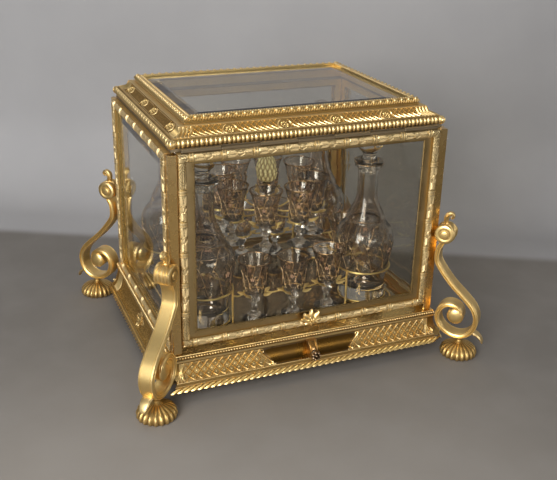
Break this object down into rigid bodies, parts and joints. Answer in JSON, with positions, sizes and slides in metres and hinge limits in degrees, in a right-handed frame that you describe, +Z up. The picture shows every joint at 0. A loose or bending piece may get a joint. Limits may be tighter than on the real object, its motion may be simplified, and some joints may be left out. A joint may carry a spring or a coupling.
{
  "type": "liqueur cabinet",
  "caption": "Glazed gilt liqueur cabinet on scroll legs, with a rear-hinged lid, a front flap hung from it and a lift-out stand of decanters and stemmed glasses.",
  "frame": {"origin": "on the ground, under the middle of the case", "axes": "+X to the right seen from the front, -Y out of the front flap, +Z up"},
  "size_m": [0.419, 0.357, 0.308],
  "materials": {
    "gilt": "chased gilt bronze, satin",
    "polished_gilt": "polished gilt bronze",
    "dark_bronze": "darkened bronze, worn",
    "steel": "plain steel",
    "pane": "clear bevelled plate glass",
    "crystal": "clear cut crystal with etched bands"
  },
  "bodies": {
    "case": {"base_moulding": "gilt", "base_top_plate": "gilt", "base_underplate": "dark_bronze", "floor_mirror": "polished_gilt", "catch_bracket": "dark_bronze", "catch_spring": "steel", "left_frame": "gilt", "right_frame": "gilt", "back_frame": "gilt", "left_glass": "pane", "right_glass": "pane", "back_glass": "pane", "lid_hinge_leaf": "gilt", "lid_hinge_pin": "steel", "post_front_left": "polished_gilt", "leg_front_left": "gilt", "foot_front_left": "gilt", "post_front_right": "polished_gilt", "leg_front_right": "gilt", "foot_front_right": "gilt", "post_back_left": "polished_gilt", "leg_back_left": "gilt", "foot_back_left": "gilt", "post_back_right": "polished_gilt", "leg_back_right": "gilt", "foot_back_right": "gilt"},
    "lid": {"lid_rim": "gilt", "lid_frieze": "gilt", "lid_top_frame": "gilt", "lid_glass": "pane", "flap_hinge_pin": "steel"},
    "front_flap": {"flap_frame": "gilt", "flap_glass": "pane", "flap_pull": "gilt"},
    "catch": {"catch_button": "dark_bronze"},
    "stand": {"service_stand": "polished_gilt", "glass_lower_1": "crystal", "glass_lower_2": "crystal", "glass_lower_3": "crystal", "glass_lower_4": "crystal", "glass_lower_5": "crystal", "glass_lower_6": "crystal", "glass_lower_7": "crystal", "glass_lower_8": "crystal", "glass_upper_1": "crystal", "glass_upper_2": "crystal", "glass_upper_3": "crystal", "glass_upper_4": "crystal", "glass_upper_5": "crystal", "glass_upper_6": "crystal", "glass_upper_7": "crystal", "glass_upper_8": "crystal"},
    "decanter_front_left": {"decanter_front_left": "crystal"},
    "stopper_front_left": {"stopper_front_left": "crystal"},
    "decanter_front_right": {"decanter_front_right": "crystal"},
    "stopper_front_right": {"stopper_front_right": "crystal"},
    "decanter_back_left": {"decanter_back_left": "crystal"},
    "stopper_back_left": {"stopper_back_left": "crystal"},
    "decanter_back_right": {"decanter_back_right": "crystal"},
    "stopper_back_right": {"stopper_back_right": "crystal"}
  },
  "joints": [
    {"name": "lid_hinge", "type": "hinge", "parent": "case", "child": "lid", "pos_m": [0, 0.1325, 0.2794], "axis": [-1, 0, 0], "range_deg": [0, 100]},
    {"name": "flap_hinge", "type": "hinge", "parent": "lid", "child": "front_flap", "pos_m": [0, -0.129, 0.279], "axis": [-1, 0, 0], "range_deg": [0, 110]},
    {"name": "catch_press", "type": "slide", "parent": "case", "child": "catch", "axis": [0, 1, 0], "range_m": [0, 0.003], "stiffness_N_per_m": 400, "springref_m": -0.002, "deforming": ["catch_spring"]},
    {"name": "stand_lift", "type": "slide", "parent": "case", "child": "stand", "axis": [0, 0, 1], "range_m": [0, 0.008]},
    {"name": "decanter_front_left_lift", "type": "slide", "parent": "stand", "child": "decanter_front_left", "axis": [0, 0, 1], "range_m": [0, 0.008]},
    {"name": "decanter_front_right_lift", "type": "slide", "parent": "stand", "child": "decanter_front_right", "axis": [0, 0, 1], "range_m": [0, 0.008]},
    {"name": "decanter_back_left_lift", "type": "slide", "parent": "stand", "child": "decanter_back_left", "axis": [0, 0, 1], "range_m": [0, 0.008]},
    {"name": "decanter_back_right_lift", "type": "slide", "parent": "stand", "child": "decanter_back_right", "axis": [0, 0, 1], "range_m": [0, 0.008]},
    {"name": "stopper_front_left_lift", "type": "slide", "parent": "decanter_front_left", "child": "stopper_front_left", "axis": [0, 0, 1], "range_m": [0, 0.012]},
    {"name": "stopper_front_right_lift", "type": "slide", "parent": "decanter_front_right", "child": "stopper_front_right", "axis": [0, 0, 1], "range_m": [0, 0.012]},
    {"name": "stopper_back_left_lift", "type": "slide", "parent": "decanter_back_left", "child": "stopper_back_left", "axis": [0, 0, 1], "range_m": [0, 0.012]},
    {"name": "stopper_back_right_lift", "type": "slide", "parent": "decanter_back_right", "child": "stopper_back_right", "axis": [0, 0, 1], "range_m": [0, 0.012]}
  ]
}
